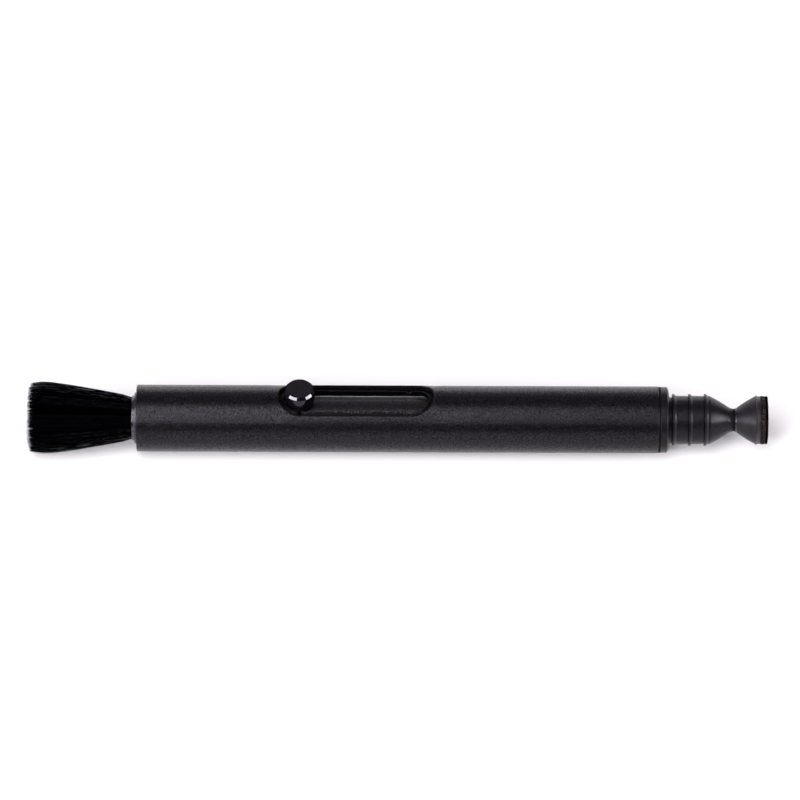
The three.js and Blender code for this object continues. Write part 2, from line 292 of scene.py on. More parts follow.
def gap_shade_rubber():
    """Dead black, painted as the shade in the gaps between the barrel and the flange and round the cup's
    ball.
    """
    f = Finish("gap_shade_rubber", (0.001, 0.001, 0.001), 0.6, specular_ior_level=0.08)
    f.color(f.noise(0.8), (0.0006, 0.0006, 0.0008), (0.002, 0.002, 0.0025))
    f.roughness(f.noise(0.3), 0.5, 0.7)
    return f.bump(f.noise(0.3), 0.01).material


def bristle_hair():
    """Black hair, dark face-on, that shines in short streaks at glancing angles. tone is each lock's."""
    f = Finish("bristle_hair", (0.0005, 0.0005, 0.0008), 0.3, specular_tint=(0.86, 0.86, 1.0, 1))
    tone = f.attribute("tone")
    f.color(tone, (0.0002, 0.0002, 0.0003), (0.0012, 0.001, 0.0016), 0.4, 1.0)
    streaks = f.ramp(f.noise(0.42, detail=3, stretch=(7, 1, 1)), 0.0, 1.0, 0.47, 0.6)
    streaks = f.multiply(f.ramp(tone, 0.1, 1.0, 0.3, 0.9), streaks)
    f.shine(f.multiply(streaks, f.ramp(f.turned_away(), 0.01, 1.0, 0.24, 0.66)))
    f.roughness(f.noise(0.8, detail=3, stretch=(4, 1, 1)), 0.24, 0.45)
    return f.material


def brown_felt():
    """Brown suede, mottled almost to black."""
    nap = {"sheen_weight": 0.06, "sheen_roughness": 0.4}
    f = Finish("brown_felt", (0.02, 0.012, 0.009), 0.95, specular_ior_level=0.1, **nap)
    mottle = f.noise(0.36, detail=5, roughness=0.7)
    f.color(mottle, (0.0006, 0.0005, 0.0005), (0.042, 0.024, 0.019), 0.5, 0.57)
    f.roughness(f.noise(0.2), 0.85, 1.0)
    return f.bump(f.noise(0.25, detail=5, roughness=0.7), 0.14).bump(f.noise(0.6, detail=3), 0.16).material


def carbon_face():
    f = Finish("carbon_face", (0.001, 0.001, 0.001), 0.9, specular_ior_level=0.0)
    f.color(f.noise(0.3, detail=6), (0.0006, 0.0005, 0.0005), (0.003, 0.0022, 0.0022))
    f.roughness(f.noise(0.2), 0.8, 1.0)
    return f.bump(f.noise(0.16, detail=5, roughness=0.7), 0.08).material


def turned_brass():
    f = Finish("turned_brass", (0.6, 0.42, 0.16), 0.3, metallic=1.0)
    f.color(f.noise(1.0, detail=4), (0.5, 0.34, 0.12), (0.68, 0.5, 0.22))
    f.roughness(f.noise(0.15, stretch=(6, 6, 1)), 0.22, 0.4)
    return f.bump(f.noise(0.1, stretch=(8, 8, 1)), 0.004).material


def drawn_steel():
    f = Finish("drawn_steel", (0.1, 0.1, 0.105), 0.3, metallic=1.0)
    f.color(f.noise(0.6, detail=4), (0.06, 0.06, 0.065), (0.16, 0.16, 0.165))
    f.roughness(f.noise(0.12, stretch=(6, 1, 1)), 0.22, 0.4)
    return f.bump(f.noise(0.08, stretch=(8, 1, 1)), 0.002).material


def set_glue():
    f = Finish("set_glue", (0.13, 0.1, 0.06), 0.35, specular_ior_level=0.5)
    f.color(f.noise(1.0, detail=4), (0.09, 0.065, 0.035), (0.18, 0.14, 0.09))
    f.roughness(f.noise(0.6), 0.25, 0.5)
    return f.bump(f.noise(0.8), 0.05).material


def adhesive_film():
    f = Finish("adhesive_film", (0.7, 0.67, 0.58), 0.6)
    f.color(f.noise(0.8, detail=4), (0.62, 0.58, 0.48), (0.76, 0.73, 0.66))
    f.roughness(f.noise(0.4), 0.5, 0.75)
    return f.bump(f.noise(0.3), 0.01).material


ANODISED = anodised_aluminium()
MILLED = milled_edge()
SATIN = satin_plastic()
SLEEVE = sleeve_plastic()
SLIDER = slider_plastic()
POLISHED = polished_black()
FERRULE = blackened_metal()
RUBBER = soft_rubber()
HAIR = bristle_hair()
FELT = brown_felt()
CARBON = carbon_face()

for node, finish in {
    "bristle_root_plug": set_glue(),
    "drag_ring": RUBBER,
    "knob_insert": turned_brass(),
    "detent_wire": blued_steel(),
    "ball_stud": drawn_steel(),
    "stud_clip": drawn_steel(),
    "pad_tape": adhesive_film(),
}.items():
    frame["nodes"][node].data.materials.clear()
    frame["nodes"][node].data.materials.append(finish)


# Mesh helpers

FILLET_STEPS = 5
FLAT_POINT = 1.35  # how far from a corner the flats' own points are, in fillets
SHARP = 38  # degrees between faces that meet in an edge


def piece(name, verts, faces, material, body, slot, replaces=(), sharp_deg=SHARP):
    """A mesh piece that rides on a CAD body. Its points are millimetres in the pen's frame."""
    mesh = bpy.data.meshes.new(name)
    co = np.asarray(verts, float) * MM + np.array([START, 0, AXIS_Z])
    mesh.from_pydata(co.tolist(), [], faces)
    mesh.validate()
    mesh.shade_smooth()
    mesh.set_sharp_from_angle(angle=math.radians(sharp_deg))
    mesh.materials.append(material)
    obj = bpy.data.objects.new(name, mesh)
    bpy.context.scene.collection.objects.link(obj)
    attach(obj, body)
    if replaces:
        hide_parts(*replaces)
    return obj


def rounded(outline):
    """An outline of (x, r) or (x, r, fillet) corners, with each fillet drawn as a curve.

    A point beyond both of its ends keeps the flats flat."""
    points = []
    closed = outline[0][:2] == outline[-1][:2]
    corners = [(Vector(c[:2]), c[2] if len(c) > 2 else 0) for c in outline]
    for i, (at, fillet) in enumerate(corners):
        before = corners[i - 1][0] if i else corners[-2][0]
        after = corners[i + 1][0] if i + 1 < len(corners) else corners[1][0]
        if not fillet or (not closed and i in (0, len(corners) - 1)):
            points.append(tuple(at))
            continue
        a, b = (before - at), (after - at)
        fillet = min(fillet, 0.45 * a.length, 0.45 * b.length)
        a.normalize()
        b.normalize()
        points.append(tuple(at + a * fillet * FLAT_POINT))
        for k in range(FILLET_STEPS + 1):
            t = k / FILLET_STEPS
            p = (1 - t) ** 2 * (at + a * fillet) + 2 * t * (1 - t) * at + t * t * (at + b * fillet)
            points.append(tuple(p))
        points.append(tuple(at + b * fillet * FLAT_POINT))
    if closed and corners[0][1]:
        points.append(points[0])
    return points


def revolve(points, sides):
    """Vertices and faces of an outline of (x, r) points turned about the pen's axis."""
    closed = (Vector(points[0]) - Vector(points[-1])).length < 1e-9
    if closed:
        points = points[:-1]
    angles = np.arange(sides) * 2 * math.pi / sides
    verts, rings = [], []
    for x, r in points:
        if r < 1e-9:
            rings.append([len(verts)] * sides)
            verts.append((x, 0, 0))
            continue
        rings.append(range(len(verts), len(verts) + sides))
        verts += [(x, r * math.sin(a), r * math.cos(a)) for a in angles]
    faces = []
    pairs = list(zip(rings, rings[1:]))
    if closed:
        pairs.append((rings[-1], rings[0]))
    for one, two in pairs:
        for i in range(sides):
            j = (i + 1) % sides
            face = list(dict.fromkeys((one[i], one[j], two[j], two[i])))
            faces.append(face)
    return verts, faces


def turned(name, outline, material, body, slot, replaces=(), sides=160):
    """A piece made from an outline of corners turned about the pen's axis."""
    verts, faces = revolve(rounded(outline), sides)
    return piece(name, verts, faces, material, body, slot, replaces)


def arc(center_x, center_r, radius, from_deg, to_deg, steps):
    angles = [math.radians(from_deg + (to_deg - from_deg) * i / steps) for i in range(steps + 1)]
    return [(center_x + radius * math.cos(a), center_r + radius * math.sin(a)) for a in angles]


def flank(start, end, bulge, steps=14):
    """Points between two outline points, along a gently bulging curve."""
    (x0, r0), (x1, r1) = start, end
    points = []
    for i in range(1, steps):
        t = i / steps
        points.append((x0 + (x1 - x0) * t, r0 + (r1 - r0) * t + bulge * 4 * t * (1 - t)))
    return points


def stadium(slot, grow=0.0):
    """The outline of a round-ended slot seen from above, grown on all sides."""
    arc_steps, straight_steps = 28, 20
    x_from, x_to, half = slot
    centers = (x_to - half, x_from + half)
    points = []
    for center, other, start in ((centers[0], centers[1], -90), (centers[1], centers[0], 90)):
        for i in range(arc_steps):
            a = math.radians(start + 180 * i / arc_steps)
            points.append((center, math.cos(a), math.sin(a)))
        side = 1 if start == -90 else -1
        for i in range(straight_steps):
            x = center + (other - center) * i / straight_steps
            points.append((x, 0.0, float(side)))
    return [(x + (half + grow) * out_x, (half + grow) * out_y) for x, out_x, out_y in points]


def prism(points, low, high):
    """Vertices and faces of a shape seen from above, between two heights."""
    n = len(points)
    verts = [(x, y, low) for x, y in points] + [(x, y, high) for x, y in points]
    faces = [[i, (i + 1) % n, n + (i + 1) % n, n + i] for i in range(n)]
    faces += [list(range(n))[::-1], list(range(n, 2 * n))]
    return verts, faces


def cut(obj, *shapes):
    """Takes solids, given as vertices and faces in the pen's frame, out of a piece."""
    for verts, faces in shapes:
        mesh = bpy.data.meshes.new("cutter")
        mesh.from_pydata([tuple(place(*v)) for v in verts], [], faces)
        cutter = bpy.data.objects.new("cutter", mesh)
        bpy.context.scene.collection.objects.link(cutter)
        modifier = obj.modifiers.new("cut", "BOOLEAN")
        modifier.object = cutter
        modifier.operation = "DIFFERENCE"
        modifier.solver = "EXACT"
        bpy.context.view_layer.update()
        evaluated = obj.evaluated_get(bpy.context.evaluated_depsgraph_get())
        result = bpy.data.meshes.new_from_object(evaluated)
        obj.modifiers.clear()
        obj.data = result
        bpy.data.objects.remove(cutter)
    obj.data.shade_smooth()
    obj.data.set_sharp_from_angle(angle=math.radians(SHARP))


def paint(obj, material, where):
    """Gives a material to the faces that where() picks by their centre's x, radius and height."""
    obj.data.materials.append(material)
    index = len(obj.data.materials) - 1
    for face in obj.data.polygons:
        x, y, z = ((c - o) / MM for c, o in zip(face.center, (START, 0, AXIS_Z)))
        if where(x, math.hypot(y, z), z):
            face.material_index = index


def soften_edges(obj, width, edge_material=-1):
    bevel = obj.modifiers.new("bevel", "BEVEL")
    bevel.material = edge_material
    bevel.width = width * MM
    bevel.segments = 2
    bevel.limit_method = "ANGLE"
    bevel.angle_limit = math.radians(SHARP)
    normals = obj.modifiers.new("normals", "WEIGHTED_NORMAL")
    normals.keep_sharp = True


# Barrel and guide sleeve


def tube_with_slot():
    """The barrel's shell: a tube whose surface runs smoothly into the rounded edge of its slot."""
    edge, chamfer = 0.11, 0.2
    apron = 0.7  # width of the even band of faces round the slot
    patch_half = math.radians(52)
    patch = (SLOT[0] - 1.6, SLOT[1] + 1.6)
    rim = stadium(SLOT)
    grown = {d: stadium(SLOT, d) for d in (edge * 0.3, edge, edge * 2, apron)}
    verts, faces = [], []

    def ring(points, radius):
        first = len(verts)
        for x, y in points:
            verts.append((x, y, math.sqrt(radius**2 - y**2)))
        return list(range(first, len(verts)))

    def bridge(one, two):
        n = len(one)
        for i in range(n):
            j = (i + 1) % n
            faces.append([one[i], one[j], two[j], two[i]])

    def border():
        """Each rim point's place on a rectangle of x and angle round the slot, which keeps its corners."""
        centers = (SLOT[1] - SLOT[2], SLOT[0] + SLOT[2])
        arc_width = patch_half * BARREL_RADIUS
        targets = []
        for x, y in rim:
            if centers[1] <= x <= centers[0]:
                targets.append((x, math.copysign(patch_half, y)))
                continue
            center = centers[0] if x > centers[0] else centers[1]
            dx, dy = x - center, y
            reach = abs((patch[1] if dx > 0 else patch[0]) - center)
            t = min(reach / max(abs(dx), 1e-9), arc_width / max(abs(dy), 1e-9))
            targets.append((center + dx * t, dy * t / BARREL_RADIUS))
        for cx in patch:
            for ca in (-patch_half, patch_half):
                def gap(i):
                    return math.hypot(targets[i][0] - cx, (targets[i][1] - ca) * BARREL_RADIUS)
                nearest = min(range(len(targets)), key=gap)
                targets[nearest] = (cx, ca)
        return targets

    border_points = border()

    def on_tube(x, angle, radius):
        verts.append((x, radius * math.sin(angle), radius * math.cos(angle)))
        return len(verts) - 1

    def shell(radius, inner):
        """The tube's surface at a radius, from the border to its ends. Returns both."""
        edge_loop = [on_tube(x, a, radius) for x, a in border_points]
        found = {}
        for (x, a), v in zip(border_points, edge_loop):
            found[(round(x, 6), round(a, 6))] = v

        def vertex(x, a):
            key = (round(x, 6), round(a, 6))
            if key not in found:
                found[key] = on_tube(x, a, radius)
            return found[key]

        def at(value, target):
            return abs(value - target) < 1e-6

        long_x = sorted({round(x, 6) for x, a in border_points if at(a, patch_half)})
        low_a = sorted({round(a, 6) for x, a in border_points if at(x, patch[0])})
        high_a = sorted({round(a, 6) for x, a in border_points if at(x, patch[1])})
        steps = 96
        rest = [patch_half + (2 * math.pi - 2 * patch_half) * i / steps for i in range(steps + 1)]
        under = [round(a, 6) for a in rest]
        under[0], under[-1] = round(patch_half, 6), round(-patch_half, 6)
        for a0, a1 in zip(under, under[1:]):
            for x0, x1 in zip(long_x, long_x[1:]):
                quad = [vertex(x0, a0), vertex(x1, a0), vertex(x1, a1), vertex(x0, a1)]
                faces.append(quad[::-1] if inner else quad)
        ends = []
        near_x = [chamfer, chamfer * 1.5, 2.0, patch[0] / 2, patch[0]]
        far_x = [patch[1], (patch[1] + BARREL_LENGTH) / 2]
        far_x += [BARREL_LENGTH - x for x in (2.0, chamfer * 1.5, chamfer)]
        for xs, top in ((near_x, low_a), (far_x, high_a)):
            around = top + under[1:-1]
            xs = [round(x, 6) for x in xs]
            for a0, a1 in zip(around, around[1:] + around[:1]):
                for x0, x1 in zip(xs, xs[1:]):
                    quad = [vertex(x0, a0), vertex(x1, a0), vertex(x1, a1), vertex(x0, a1)]
                    faces.append(quad[::-1] if inner else quad)
            end_x = xs[0] if top is low_a else xs[-1]
            ends.append([(a, vertex(end_x, a)) for a in around])
        return edge_loop, ends

    outer_border, outer_ends = shell(BARREL_RADIUS, False)
    inner_border, inner_ends = shell(BARREL_BORE, True)
    loops = [
        inner_border,
        ring(grown[apron], BARREL_BORE),
        ring(rim, BARREL_BORE),
        ring(rim, BARREL_RADIUS - edge),
        ring(grown[edge * 0.3], BARREL_RADIUS - edge * 0.3),
        ring(grown[edge], BARREL_RADIUS),
        ring(grown[edge * 2], BARREL_RADIUS),
        ring(grown[apron], BARREL_RADIUS),
        outer_border,
    ]
    for one, two in zip(loops, loops[1:]):
        bridge(one, two)
    for end_x, towards, outer, inner in zip((0.0, BARREL_LENGTH), (1, -1), outer_ends, inner_ends):
        # the rounded corner, the flat end and the bore's corner
        profile = [
            (end_x + towards * chamfer * 0.5, BARREL_RADIUS - chamfer * 0.16),
            (end_x + towards * chamfer * 0.16, BARREL_RADIUS - chamfer * 0.5),
            (end_x, BARREL_RADIUS - chamfer),
            (end_x, BARREL_RADIUS - chamfer * 1.3),
            (end_x, BARREL_BORE + 0.08),
            (end_x + towards * 0.08, BARREL_BORE),
        ]
        previous = [v for _, v in outer]
        for x, r in profile:
            current = [on_tube(x, a, r) for a, _ in outer]
            bridge(previous, current)
            previous = current
        bridge(previous, [v for _, v in inner])
    return verts, faces


def recalculated(obj):
    """Welds what shares a place and turns every face outwards."""
    same_place, sharp_deg = 1e-7, 48
    mesh = bmesh.new()
    mesh.from_mesh(obj.data)
    bmesh.ops.remove_doubles(mesh, verts=mesh.verts, dist=same_place)
    bmesh.ops.recalc_face_normals(mesh, faces=mesh.faces)
    mesh.to_mesh(obj.data)
    mesh.free()
    obj.data.shade_smooth()
    obj.data.set_sharp_from_angle(angle=math.radians(sharp_deg))


barrel = piece("barrel_shell", *tube_with_slot(), ANODISED, "barrel", "barrel", ["barrel_tube"])
recalculated(barrel)


def on_slot_wall(x, radius, height):
    in_wall = BARREL_BORE + 0.02 < radius < BARREL_RADIUS - 0.12
    return in_wall and height > 0 and SLOT[0] - 0.1 < x < SLOT[1] + 0.1


paint(barrel, MILLED, on_slot_wall)

sleeve = turned(
    "sleeve_liner",
    [
        (SLEEVE_FROM, SLEEVE_BORE),
        (SLEEVE_FROM, SLEEVE_RADIUS, 0.1),
        (SLEEVE_TO, SLEEVE_RADIUS, 0.1),
        (SLEEVE_TO, SLEEVE_BORE),
        (SLEEVE_FROM, SLEEVE_BORE),
    ],
    SLEEVE,
    "barrel",
    "moulded",
    ["guide_sleeve"],
    sides=128,
)
notch_half, notch_reach, notch_floor = NOTCH_WIDTH / 2, 4.3, 4.3
track_floor = 0.5
notches = [
    prism(
        [
            (x - notch_half, -notch_reach),
            (x + notch_half, -notch_reach),
            (x + notch_half, notch_reach),
            (x - notch_half, notch_reach),
        ],
        notch_floor,
        7,
    )
    for x in (KNOB_X, KNOB_X + TRAVEL)
]
cut(sleeve, prism(stadium(TRACK), track_floor, 8), *notches)
# The sleeve's bevelled edges get pale specks: painted glints.
sleeve.data.materials.append(wear_and_glint_edge(0.14, 0.44))
soften_edges(sleeve, 0.08, edge_material=1)

ring_from, ring_to, _ = span("mouth_ring")
ferrule_from, ferrule_to, ferrule_radius = span("brush_ferrule")
ring_radius, ring_bore = 4.95, ferrule_radius + 0.1
turned(
    "mouth_collar",
    [
        (ring_from, ring_bore, 0.06),
        (ring_from, ring_radius, 0.14),
        (0.04, ring_radius, 0.03),
        (0.04, BARREL_BORE - 0.06, 0.02),
        (ring_to, BARREL_BORE - 0.06, 0.05),
        (ring_to, ring_bore, 0.05),
        (ring_from, ring_bore, 0.06),
    ],
    turned_ring(),
    "barrel",
    "moulded",
    ["mouth_ring"],
)

gasket_from, gasket_to, gasket_radius = span("end_gasket")
turned(
    "flange_gasket",
    [
        (gasket_from, BARREL_BORE),
        (gasket_from, gasket_radius, 0.06),
        (gasket_to, gasket_radius, 0.06),
        (gasket_to, BARREL_BORE),
        (gasket_from, BARREL_BORE),
    ],
    gap_shade_rubber(),
    "barrel",
    "rubber",
    ["end_gasket"],
)


# Tip holder: flange, ribbed spigot for a cap, and the cone that carries the head


RIBS = (104.0, 107.12, 110.18)
RIB_FOOT, RIB_TOP = 4.68, 5.04  # radii


def rib(x):
    """A sawtooth rib, with a fine groove at the foot of its steep side."""
    crest, slope, groove = 0.32, 0.42, RIB_FOOT - 0.16
    foot = [(x - 0.16, RIB_FOOT, 0.02), (x - 0.13, groove), (x, groove, 0.02)]
    return foot + [(x, RIB_TOP, 0.05), (x + crest, RIB_TOP, 0.07), (x + crest + slope, RIB_FOOT, 0.1)]


holder_from, _, flange_radius = span("tip_holder")
cone_start, cone_end, cone_lip = (111.35, 4.6), (114.75, 2.62), (115.66, 2.27)
spigot = turned(
    "cap_spigot",
    [
        (holder_from, 3.6),
        (holder_from, 5.2, 0.05),
        (holder_from + 0.4, 5.6, 0.05),
        (101.62, 5.6),
        (101.62, flange_radius, 0.1),
        (102.88, flange_radius, 0.16),
        (103.25, 5.8, 0.12),
        (103.25, 5.15, 0.05),
        (103.1, 5.15, 0.04),
        (103.1, 4.5, 0.08),
        (103.7, 4.5, 0.03),
        (103.74, 4.34),
        (RIBS[0], 4.34, 0.02),
        *rib(RIBS[0])[3:],
        *rib(RIBS[1]),
        *rib(RIBS[2]),
        (111.28, RIB_FOOT, 0.05),
        (111.28, 4.56, 0.03),
        (cone_start[0], 4.56, 0.03),
        (*cone_start, 0.12),
        *flank(cone_start, cone_end, 0.1),
        cone_end,
        *flank(cone_end, cone_lip, -0.06, 6),
        (*cone_lip, 0.03),
        (115.7, 2.22, 0.02),
        *arc(PIVOT, 0, 2.3, 98, 162, 12),
        (112.4, 0.72),
        (112.4, 1.8),
        (110.7, 3.6),
        (holder_from, 3.6),
    ],
    SATIN,
    "barrel",
    "moulded",
    ["tip_holder"],
    sides=192,
)


def in_rib_groove(x, radius, _):
    return RIBS[0] - 0.28 < x < RIBS[2] + 0.12 and 4.0 < radius < RIB_FOOT - 0.04


# The grooves at the ribs' feet take the sleeve's darker, duller black: painted shade in the recesses.
paint(spigot, SLEEVE, in_rib_groove)


def parting_line(name, side):
    """The fine ridge that the two halves of the mould leave along the cone."""
    crest = [cone_start, *flank(cone_start, cone_end, 0.1), cone_end]
    verts, faces = [], []
    for x, r in crest:
        verts += [(x, side * (r - 0.05), 0.2), (x, side * (r + 0.09), 0.0), (x, side * (r - 0.05), -0.2)]
    for i in range(0, len(verts) - 3, 3):
        faces += [[i, i + 1, i + 4, i + 3], [i + 1, i + 2, i + 5, i + 4], [i + 2, i, i + 3, i + 5]]
    faces += [[0, 2, 1], [len(verts) - 3, len(verts) - 2, len(verts) - 1]]
    recalculated(piece(name, verts, faces, SATIN, "barrel", "moulded"))


parting_line("parting_line_front", -1)
parting_line("parting_line_back", 1)


# Brush slider

ferrule_bore = ferrule_radius - 0.24
turned(
    "ferrule_tube",
    [
        (ferrule_from, ferrule_bore, 0.05),
        (ferrule_from, ferrule_radius, 0.1),
        (ferrule_to, ferrule_radius, 0.04),
        (ferrule_to, ferrule_bore, 0.04),
        (ferrule_from, ferrule_bore, 0.05),
    ],
    FERRULE,
    "brush_slider",
    "ferrule",
    ["brush_ferrule"],
)

_, carrier_to, carrier_radius = span("slider_carrier")
carrier = turned(
    "slider_tube",
    [
        (9.1, 0),
        (9.1, 4.06, 0.05),
        (14.0, 4.06),
        (14.0, carrier_radius, 0.08),
        (58.45, carrier_radius, 0.05),
        (58.45, 3.4),
        (59.75, 3.4),
        (59.75, carrier_radius, 0.05),
        (carrier_to, carrier_radius, 0.1),
        (carrier_to, 3.3, 0.05),
        (36, 3.3),
        (36, 0),
    ],
    SLIDER,
    "brush_slider",
    "moulded",
    ["slider_carrier"],
)


def disc(radius):
    """A circle round the knob, seen from above."""
    steps = 48
    angles = [2 * math.pi * i / steps for i in range(steps)]
    return [(KNOB_X + radius * math.cos(a), radius * math.sin(a)) for a in angles]


knob_seat = prism(disc(2.75), 4.2, 6)
insert_hole = prism(disc(1.9), 0.35, 5)
cut(carrier, knob_seat, insert_hole)


BUTTON_TOP = (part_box("thumb_knob")[1].z - AXIS_Z) / MM


def thumb_button():
    """Turned about its own upright axis: stud, neck, side and polished bevel."""
    outline = [
        (0.9, 0),
        (0.9, 1.0, 0.1),
        (4.27, 1.0),
        (4.27, 2.67, 0.1),
        (5.8, 2.67, 0.05),
        (5.8, 2.94, 0.06),
        (7.7, 2.935, 0.03),
        (7.75, 2.9),
        (BUTTON_TOP - 0.08, 2.605),
        (BUTTON_TOP, 2.547, 0.05),
        (BUTTON_TOP, 0),
    ]
    verts, faces = revolve(rounded(outline), 160)
    return [(KNOB_X + y, z, x) for x, y, z in verts], faces


piece("thumb_button", *thumb_button(), POLISHED, "brush_slider", "polished", ["thumb_knob"], sharp_deg=25)


# Bristles: every strand is a tapering tube, gathered in tufts

BRUSH_TIP = span("bristles")[0]
NECK, LIP_X = 4.02, ferrule_from - 0.05
LIP_RADIUS = 4.25
WIDEST, WIDEST_AT = 6.93, 0.82  # the spread brush's radius, and how far along it that is
TIP_RADIUS = 6.65
TABLE = -AXIS_Z / MM
LOCK = 0.66  # width of the locks that the hairs gather into at their tips
LOCK_RINGS = 12
KNOTS = 10  # steps along each strand


def spread(u):
    """The brush's outer radius at a share u of the way from the ferrule's lip to the tips."""
    u = np.clip(u, 0, 1)
    opening = 1 - (1 - np.clip(u / WIDEST_AT, 0, 1)) ** 1.25
    closing = np.clip((u - WIDEST_AT) / (1 - WIDEST_AT), 0, 1) ** 2
    return LIP_RADIUS + (WIDEST - LIP_RADIUS) * opening - (WIDEST - TIP_RADIUS) * closing


def strand_paths(rng, root_r, root_a):
    """Points along each strand, from inside the ferrule to its tip, with its thickness there and its tone.

    Neighbours gather into locks with a common lean and length, and each lock ends in a point."""
    count = len(root_r)
    share = root_r / NECK
    ring = np.floor(share * LOCK_RINGS)
    around = np.maximum(1, np.round(2 * math.pi * (ring + 0.5) / LOCK_RINGS * WIDEST / LOCK))
    lock = np.floor(root_a / (2 * math.pi) * around) + 1000 * ring
    _, lock_id = np.unique(lock, return_inverse=True)
    locks = lock_id.max() + 1
    size = np.bincount(lock_id, minlength=locks)
    lock_a = (np.bincount(lock_id, root_a, locks) / size)[lock_id]
    lock_r = (np.bincount(lock_id, share, locks) / size)[lock_id]
    apart = WIDEST * np.hypot(share - lock_r, (root_a - lock_a) * share) / (LOCK / 2)
    past_tip, doming, pointing = 0.15, 0.65, 0.95
    length = (LIP_X - BRUSH_TIP) + past_tip - doming * share**3
    length -= pointing * np.clip(apart, 0, 1.2) + np.abs(rng.normal(0, 0.22, locks))[lock_id]
    length -= np.abs(rng.normal(0, 0.05, count))
    lean = rng.normal(0, 0.014, locks)[lock_id]
    swell = rng.normal(0, 0.014, locks)[lock_id]
    gather = rng.uniform(0.1, 0.35, locks)[lock_id]
    wave = rng.normal(0, 0.016, (count, 2))
    phase = rng.uniform(0, 2 * math.pi, count)
    stray = np.where(rng.random(count) < 0.015, rng.uniform(0.0, 0.25, count), 0)
    paths = np.zeros((count, KNOTS + 2, 3))
    thickness = np.zeros((count, KNOTS + 2))
    own_thickness = rng.uniform(0.03, 0.048, count)
    for k in range(KNOTS + 2):  # the first is the root, inside the ferrule
        u = max(k - 1, 0) / KNOTS
        x = LIP_X - u * length if k else np.full(count, LIP_X + 6)
        u_true = np.clip((LIP_X - x) / (LIP_X - BRUSH_TIP), 0, 1)
        pull = gather * u**1.6 + 0.6 * u**12
        s = share * (1 - pull) + lock_r * pull
        a = root_a * (1 - pull) + lock_a * pull
        s = s * (1 + swell * u) + wave[:, 0] * np.sin(3 * u + phase) * u
        a = a + lean * u * u + wave[:, 1] * np.cos(4 * u + phase) * u
        r = np.minimum(s, 1.015) * spread(u_true) * (1 if k else NECK / LIP_RADIUS) + stray * u**3
        r = np.minimum(r, NECK if k <= 1 else WIDEST + 0.15)
        paths[:, k] = np.stack([x, r * np.sin(a), r * np.cos(a)], 1)
        thickness[:, k] = own_thickness * (1 - 0.85 * u**5)
    low = TABLE + 0.06 + 0.3 * rng.random(count)[:, None] ** 2
    paths[:, :, 2] = np.where(paths[:, :, 2] < low, low, paths[:, :, 2])
    tone = np.clip(rng.random(locks)[lock_id] + rng.normal(0, 0.2, count), 0, 1)
    return paths, thickness, tone


def tubes(rng, paths, thickness):
    """Vertices and faces of three-sided tubes round paths."""
    count, knots, _ = paths.shape
    along = np.gradient(paths, axis=1)
    along /= np.linalg.norm(along, axis=2, keepdims=True)
    side = np.cross(along, (0.0, 0.0, 1.0))
    side /= np.maximum(np.linalg.norm(side, axis=2, keepdims=True), 1e-6)
    other = np.cross(along, side)
    turn = rng.uniform(0, 2 * math.pi, count)
    corners = []
    for c in range(3):
        a = turn[:, None, None] + c * 2 * math.pi / 3
        corners.append(paths + thickness[:, :, None] * (np.cos(a) * side + np.sin(a) * other))
    verts = np.stack(corners, 2).reshape(-1, 3)
    base = (np.arange(count) * knots * 3)[:, None, None] + (np.arange(knots - 1) * 3)[None, :, None]
    c = np.arange(3)[None, None, :]
    d = (c + 1) % 3
    quads = np.stack([base + c, base + d, base + 3 + d, base + 3 + c], 3).reshape(-1, 4)
    last = (np.arange(count) * knots * 3 + (knots - 1) * 3)[:, None] + np.arange(3)[None, :]
    return verts, quads.tolist() + last.tolist()


def tuft(name, rng, paths, thickness, tone):
    """One mesh of strands. Their normals lean outwards, so they shade as a bundle."""
    count, knots, _ = paths.shape
    verts, faces = tubes(rng, paths, thickness)
    obj = piece(name, verts, faces, HAIR, "brush_slider", "bristle", sharp_deg=180)
    mesh = obj.data
    tones = mesh.attributes.new("tone", "FLOAT", "POINT")
    tones.data.foreach_set("value", np.repeat(tone, knots * 3).astype(np.float32))
    normals = np.zeros(len(mesh.vertices) * 3, np.float32)
    mesh.vertex_normals.foreach_get("vector", normals)
    normals = normals.reshape(-1, 3)
    out = verts * (0, 1, 1)
    out /= np.maximum(np.linalg.norm(out, axis=1, keepdims=True), 0.5)
    mesh.normals_split_custom_set_from_vertices((0.4 * normals + 0.6 * out).tolist())
    return obj


# Name, from and to as shares of the neck's radius, tufts round the ring, strands in each, and the share of
# the spread that is left when the brush is in.
TUFTS = [
    ("core", 0.0, 0.62, 1, 1500, None),
    ("middle", 0.62, 0.82, 28, 52, 0.3),
    ("outer", 0.82, 1.0, 32, 130, 0.08),
]

strands = np.random.default_rng(7)
first_tuft = None
for label, low, high, around, count, keep in TUFTS:
    for i in range(around):
        r = NECK * np.sqrt(strands.uniform(low**2, high**2, count))
        a = (i + strands.uniform(0, 1, count)) / around * 2 * math.pi
        obj = tuft(f"bristle_{label}_{i:02d}", strands, *strand_paths(strands, r, a))
        first_tuft = first_tuft or obj
        if keep:
            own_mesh(obj)
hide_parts("bristles")


# Swivelling head

